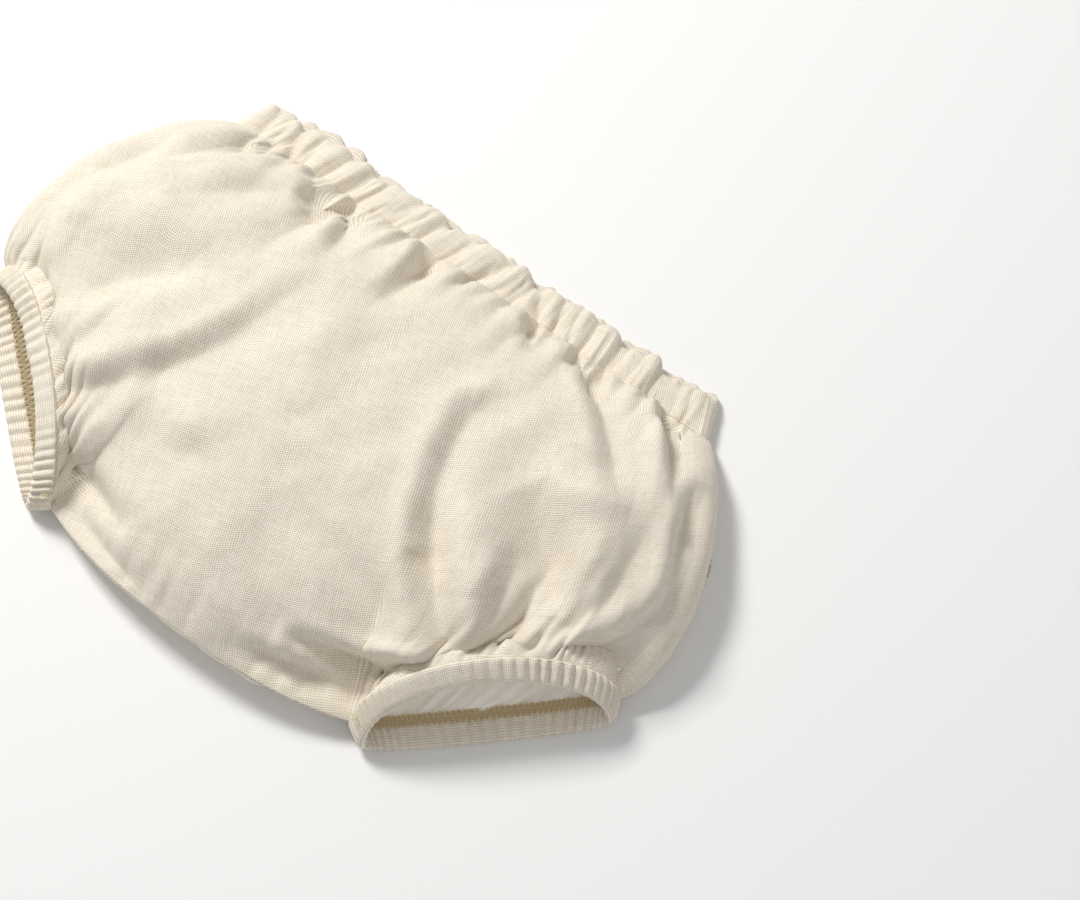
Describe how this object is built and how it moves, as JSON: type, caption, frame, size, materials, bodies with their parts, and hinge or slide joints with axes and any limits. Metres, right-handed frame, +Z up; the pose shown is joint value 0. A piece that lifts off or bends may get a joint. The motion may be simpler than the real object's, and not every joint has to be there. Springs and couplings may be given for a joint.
{
  "type": "baby bloomers",
  "caption": "Gathered baby bloomers in natural linen, laid flat on their back: elastic waist casing, puffed body, elastic leg bands and a pale voile lining.",
  "frame": {"origin": "on the surface that the garment lies on, below the centre of its outline", "axes": "+X along the waist towards the leg at the right of the picture, +Y from the crotch up to the waist, +Z up from the surface"},
  "size_m": [0.2924, 0.1929, 0.044],
  "materials": {
    "linen": "natural undyed plain-weave linen, matt, slightly slubbed",
    "voile": "thin off-white cotton voile, matt",
    "thread": "golden-beige sewing thread"
  },
  "bodies": {
    "root": {"front_panel": "linen", "back_panel": "linen", "waist_casing": "linen", "leg_band_right": "linen", "leg_band_left": "linen", "lining_front": "voile", "lining_back": "voile"}
  },
  "joints": []
}
